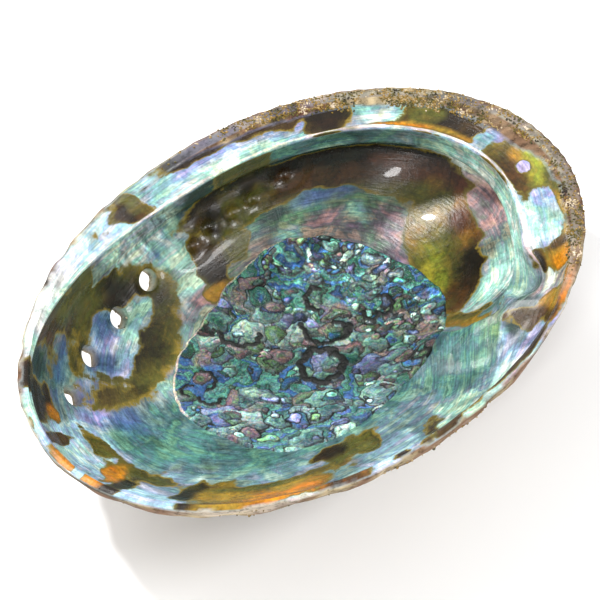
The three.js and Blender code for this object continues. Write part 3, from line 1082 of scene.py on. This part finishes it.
# The scar is a squarish oval, leaning and fuller towards the spire end.
SCAR_HALF_LENGTH = 36.0
SCAR_HALF_WIDTH = 27.5
SCAR_SQUARENESS = 2.8
SCAR_LEAN = math.radians(14)
SCAR_FULLNESS = 0.1
SCAR_CENTRE = np.array([2.0, 5.0])
SCAR_ACROSS = 280
SCAR_STEPS_UNDER = 8
SCAR_SINK = 0.5
SCAR_THICK = 1.6
SCAR_TURN = math.radians(-44)
BLACK = srgb(14, 15, 13)

# Thick dark rings: centre in plan, then half-sizes, first and last bearing and half-thickness.
# The half-sizes and bearings are in the scar's turned axes.
RINGS = [
    ((4.5, 0.0), (4.9, 5.6), 0, 360, 0.75), ((4.9, 1.4), (4.4, 4.6), 40, 140, 0.8),
    ((14.0, 8.5), (5.6, 4.6), 165, 375, 0.6), ((16.3, 6.6), (2.0, 1.6), -10, 120, 0.5),
    ((19.2, 16.5), (3.0, 3.6), 75, 265, 0.55), ((25.0, 4.2), (2.0, 2.6), 170, 340, 0.5),
    ((28.4, 3.2), (2.2, 3.4), -150, 120, 0.45), ((-3.0, 21.0), (4.6, 3.2), 170, 375, 0.55),
    ((-19.5, 15.5), (2.4, 3.4), -80, 110, 0.4), ((-22.5, 10.5), (2.6, 2.6), 190, 360, 0.4),
    ((-24.5, 15.0), (2.2, 2.2), 80, 260, 0.35), ((20.0, -17.0), (2.4, 1.4), 0, 360, 0.4),
]

island_grain = Grain(53)
terrace_grain = Grain(59)


def turned(plan):
    """Offsets in the scar's own axes, which point along its rows of scales."""
    right = np.array([math.cos(SCAR_TURN), math.sin(SCAR_TURN)])
    up = np.array([-right[1], right[0]])
    return np.stack([plan @ right, plan @ up], -1)


def scar_edge(bearing):
    """Distance from the scar's centre to its edge, with small bays in it."""
    along = np.abs(np.cos(bearing - SCAR_LEAN)) / SCAR_HALF_LENGTH
    across = np.abs(np.sin(bearing - SCAR_LEAN)) / SCAR_HALF_WIDTH
    oval = (along ** SCAR_SQUARENESS + across ** SCAR_SQUARENESS) ** (-1 / SCAR_SQUARENESS)
    oval = oval * (1 + SCAR_FULLNESS * np.cos(bearing - SCAR_LEAN))
    spot = SCAR_CENTRE + np.stack([np.cos(bearing), np.sin(bearing)], -1) * oval[..., None]
    return oval + 0.9 * island_grain.rough(spot, 5, 3)


def scar_plan():
    """A square grid bent to fill the scar's outline, and how near each point is to the edge."""
    side = np.linspace(-1, 1, SCAR_ACROSS)
    u, v = np.meshgrid(side, side)
    disc = np.stack([u * np.sqrt(1 - v * v / 2), v * np.sqrt(1 - u * u / 2)], -1)
    bearing = np.arctan2(disc[..., 1], disc[..., 0])
    reach = scar_edge(bearing)
    return SCAR_CENTRE + disc * reach[..., None], np.linalg.norm(disc, axis=-1), reach


def islands():
    """Centre, size, stretch, hue and level of every island, small ones towards the spire end."""
    rng = np.random.default_rng(97)
    made = []
    for size, count in ((5.0, 9), (3.4, 40), (2.3, 105), (1.4, 300), (0.9, 460)):
        for _ in range(count):
            spot = SCAR_CENTRE + rng.uniform([-36, -30], [36, 30])
            right_end = ease(spot[0] + 0.3 * spot[1], 14, 32)
            if size > 1.5 and rng.random() < right_end * 0.9:
                continue
            if size < 1.5 and rng.random() > 0.2 + 0.8 * right_end:
                continue
            made.append((
                spot, size * rng.uniform(0.75, 1.25), rng.uniform(1.0, 1.6), rng.random(), rng.random(),
            ))
    return made


def ring_distance(plan, ring):
    """Distance of each point from a ring's line, in half-thicknesses."""
    centre, half, first, last, thick = ring
    turn = np.radians(np.linspace(first, last, 90))
    lobes = 1 + 0.07 * np.sin(turn * 7) + 0.04 * np.sin(turn * 13 + 1)
    line = np.stack([np.cos(turn) * half[0] * lobes, np.sin(turn) * half[1] * lobes], -1)
    offset = turned(plan - np.array(centre))
    near = np.linalg.norm(offset, axis=-1) < max(half) + 4
    distance = np.full(plan.shape[:-1], 99.0)
    gap = np.linalg.norm(offset[near][:, None] - line[None], axis=-1)
    distance[near] = gap.min(1) / thick
    return distance


def scar_surface(plan):
    """Height above the floor and colour at each point of the scar."""
    warp = np.stack([island_grain.rough(plan, 4, 3), terrace_grain.rough(plan + 31, 4, 3)], -1)
    bent = turned(plan + 2.4 * warp)
    smooth_warp = np.stack([island_grain.rough(plan, 6, 1), terrace_grain.rough(plan + 31, 6, 1)], -1)
    swirl = terrace_grain.rough(plan + 5 * warp, 17, 2)
    step = np.mod(swirl * 11, 1)
    contour = np.minimum(step, 1 - step)
    height = 0.35 + 0.25 * swirl + 0.18 * ease(step, 0, 0.5)
    ink = 1 - ease(contour, 0.03, 0.12)
    tints = np.array([
        TURQUOISE * 0.9, DEEP_GREEN * 2, BLUE, LAVENDER * 0.7, TURQUOISE * 0.7, ROSE,
        GREEN * 0.8, STEEL, MINT * 0.8,
    ])
    pick = np.mod((swirl * 11).astype(int), 3)
    colour = np.choose(pick[..., None], [TEAL, BLUE, DEEP_GREEN * 1.8]) * (0.6 + 0.6 * step[..., None])
    tan = ease(terrace_grain.rough(plan + 77, 8, 3), 0.2, 0.5)[..., None]
    colour = colour + (PINK * 0.9 - colour) * tan * 0.7
    ink = ink * 0.7
    for spot, size, stretch, hue, level in islands():
        offset = bent - turned(spot[None])[0]
        far = np.hypot(offset[..., 0] / stretch, offset[..., 1])
        depth = size - far
        inside = depth > 0
        inner = depth[inside]
        # Painted shading: each island is painted lighter on one side and darker on the other, as if lit
        # from one direction.
        painted_side_light = offset[inside] @ np.array([-0.5, 0.85]) / size
        height[inside] = 0.35 + 0.28 * level + 0.09 * size * (1 - np.exp(-inner / 0.3))
        ring_ink = np.exp(-(inner / 0.4) ** 4)
        nested = 0.75 * np.exp(-((np.mod(inner + 0.2, 0.9) - 0.45) / 0.1) ** 2) * (inner > 0.6)
        ink[inside] = np.maximum(ring_ink, nested * (level > 0.35))
        along = hue * len(tints) + 1.4 * inner / size
        first = tints[along.astype(int) % len(tints)]
        second = tints[(along.astype(int) + 1) % len(tints)]
        share = ease(along % 1, 0.2, 0.8)[:, None]
        # Painted glints: small raised islands are painted far brighter, small low ones darker.
        painted_glint = 1 if size > 1.6 else 0.7 + 2.0 * (level > 0.65)
        colour[inside] = (first + (second - first) * share) * (0.62 + 0.5 * painted_side_light)[:, None] * painted_glint
    # Painted glints: bright specks scattered over the scar's spire end.
    painted_glint_zone = ease(plan[..., 0] + 0.3 * plan[..., 1], 20, 36)
    painted_glint = 2.2 * painted_glint_zone * ease(island_grain.rough(plan, 1.6, 2), 0.0, 0.4)
    colour = colour * (1 + painted_glint[..., None])
    low = ease(-turned(plan - SCAR_CENTRE)[..., 1], 6, 20)[..., None]
    colour = colour * (1 + 0.35 * low) + LAVENDER * 0.12 * low
    ink = ink * (0.7 + 0.3 * ease(island_grain.rough(plan + 13, 6, 2), -0.4, 0.1))
    for ring in RINGS:
        away = ring_distance(plan + 0.5 * smooth_warp, ring) / 1.3
        height = height + 0.5 * np.exp(-away ** 2)
        ink = np.maximum(ink, 1 - ease(away, 0.8, 1.1))
    colour = colour + (BLACK - colour) * np.clip(ink, 0, 1)[..., None]
    return height, np.clip(colour, 0.002, 1), np.clip(ink, 0, 1)


def floor_height(tree, plan):
    """Height of the shell's skin under each point, in millimetres above the frame's floor."""
    down, start = Vector((0, 0, -1)), 0.038
    spots = to_frame(np.concatenate([plan, np.zeros_like(plan[..., :1])], -1)).reshape(-1, 3)
    found = [tree.ray_cast(Vector((x, y, start)), down)[0] for x, y, _ in spots.tolist()]
    return np.array([hit.z if hit else 0.004 for hit in found]).reshape(plan.shape[:-1]) / MM


def build_scar(skin_points, faces):
    """A thin closed piece that lies on the bowl's floor, its edge sunk into the nacre."""
    tree = bvhtree.BVHTree.FromPolygons(skin_points.tolist(), faces.tolist())
    plan, out, reach = scar_plan()
    height, tint, ink = scar_surface(plan)
    inward = (1 - out) * reach
    around = np.degrees(np.arctan2(*(plan - SCAR_CENTRE)[..., ::-1].transpose(2, 0, 1)))
    # Painted highlight: a thin cream line along the scar's upper-left edge, with its dark outline taken
    # off there.
    painted_highlight_side = ease(around, 40, 60) * (1 - ease(around, 165, 178))
    painted_highlight_line = painted_highlight_side * ease(inward, 0.1, 0.4) * (1 - ease(inward, 0.9, 1.3))
    tint = tint + (CREAM - tint) * painted_highlight_line[..., None]
    ink = ink * (1 - painted_highlight_line)
    edge = 1 - ease((1 - out) * reach, 0, 1.2)
    ground = floor_height(tree, plan)
    top = ground + height * (1 - edge) - SCAR_SINK * edge
    n = SCAR_ACROSS
    flat = to_frame(np.concatenate([plan, np.zeros_like(plan[..., :1])], -1))
    flat[..., 2] = top * MM
    index = np.arange(n * n).reshape(n, n)
    a, b, c, d = index[:-1, :-1], index[:-1, 1:], index[1:, 1:], index[1:, :-1]
    tris = [np.stack([a, b, c], -1).reshape(-1, 3), np.stack([a, c, d], -1).reshape(-1, 3)]
    loop = np.concatenate([index[0, :-1], index[:-1, -1], index[-1, :0:-1], index[:0:-1, 0]])
    rim_plan = plan.reshape(-1, 2)[loop]
    points, previous, count = [flat.reshape(-1, 3)], loop, n * n
    for step in range(SCAR_STEPS_UNDER):
        share = 1 - step / SCAR_STEPS_UNDER
        ring_plan = SCAR_CENTRE + (rim_plan - SCAR_CENTRE) * share * 0.995
        ring = to_frame(np.concatenate([ring_plan, np.zeros((len(loop), 1))], 1))
        ring[:, 2] = (floor_height(tree, ring_plan) - SCAR_THICK) * MM
        points.append(ring)
        current = count + np.arange(len(loop))
        count += len(loop)
        after, before = np.roll(current, -1), np.roll(previous, -1)
        tris += [np.stack([previous, current, after], -1), np.stack([previous, after, before], -1)]
        previous = current
    middle = to_frame(np.array([[*SCAR_CENTRE, 0.0]]))
    middle[:, 2] = (floor_height(tree, SCAR_CENTRE[None]) - SCAR_THICK) * MM
    points.append(middle)
    tris.append(np.stack([previous, np.full(len(loop), count), np.roll(previous, -1)], -1))
    piece = new_mesh_object("muscle_scar", np.concatenate(points), np.concatenate(tris))
    tint = np.concatenate([tint.reshape(-1, 3), np.tile(TEAL, (count + 1 - n * n, 1))])
    set_attribute(piece, "tint", np.concatenate([tint, np.ones((len(tint), 1))], 1), "FLOAT_COLOR")
    set_attribute(piece, "ink", np.concatenate([ink.ravel(), np.zeros(count + 1 - n * n)]))
    piece.data.polygons.foreach_set("use_smooth", np.ones(len(piece.data.polygons), bool))
    piece.data.materials.append(scar_material())
    return piece


# ---------------------------------------------------------------- camera, light and floor

CAMERA_TURN = -44.4
CAMERA_TILT = 48.9
CAMERA_DISTANCE = 0.521
CAMERA_LENS = 138.1
AIM = Vector((0.0, 0.0, (DEPTH - WORN_FLAT) * MM))
AIM_RIGHT = -0.0021
AIM_UP = -0.0041


def set_camera():
    turn, tilt = math.radians(CAMERA_TURN), math.radians(CAMERA_TILT)
    back = Vector((math.sin(turn) * math.cos(tilt), -math.cos(turn) * math.cos(tilt), math.sin(tilt)))
    rotation = back.to_track_quat("Z", "Y")
    right = rotation @ Vector((1, 0, 0))
    up = rotation @ Vector((0, 1, 0))
    camera = bpy.data.objects.new("camera", bpy.data.cameras.new("camera"))
    camera.data.lens = CAMERA_LENS
    camera.data.clip_start = 0.01
    camera.location = AIM + back * CAMERA_DISTANCE + right * AIM_RIGHT + up * AIM_UP
    camera.rotation_euler = rotation.to_euler()
    bpy.context.scene.collection.objects.link(camera)
    bpy.context.scene.camera = camera


def soft_light(name, place, size, power, colour=(1, 1, 1)):
    lamp = bpy.data.lights.new(name, "AREA")
    lamp.shape = "DISK"
    lamp.size = size
    lamp.energy = power
    lamp.color = colour
    light = bpy.data.objects.new(name, lamp)
    light.location = place
    light.rotation_euler = (Vector(place) - Vector((0, 0, 0.02))).to_track_quat("Z", "Y").to_euler()
    bpy.context.scene.collection.objects.link(light)


def set_light():
    soft_light("key", (-0.2, 0.35, 0.75), 0.07, 6.0)
    soft_light("fill", (0.45, -0.6, 0.65), 0.3, 5.0)
    soft_light("side", (-0.6, -0.35, 0.6), 0.15, 2.6)
    soft_light("low", (0.1, 0.7, 0.3), 0.3, 2.4)
    world = bpy.data.worlds.new("studio")
    world.use_nodes = True
    world.node_tree.nodes["Background"].inputs["Color"].default_value = (1, 1, 1, 1)
    world.node_tree.nodes["Background"].inputs["Strength"].default_value = 0.6
    bpy.context.scene.world = world
    bpy.context.scene.view_settings.view_transform = "Standard"


def build_floor():
    size = 3.0
    corners = np.array([[-size, -size, 0], [size, -size, 0], [size, size, 0], [-size, size, 0]])
    floor = new_mesh_object("floor", corners, np.array([[0, 1, 2, 3]]))
    box = PaintBox("pale_floor")
    floor.data.materials.append(box.surface(Base_Color=(0.92, 0.92, 0.92, 1), Roughness=0.7))


set_camera()
set_light()
build_floor()

for piece in build_shell():
    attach(piece, "root")
    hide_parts("shell")
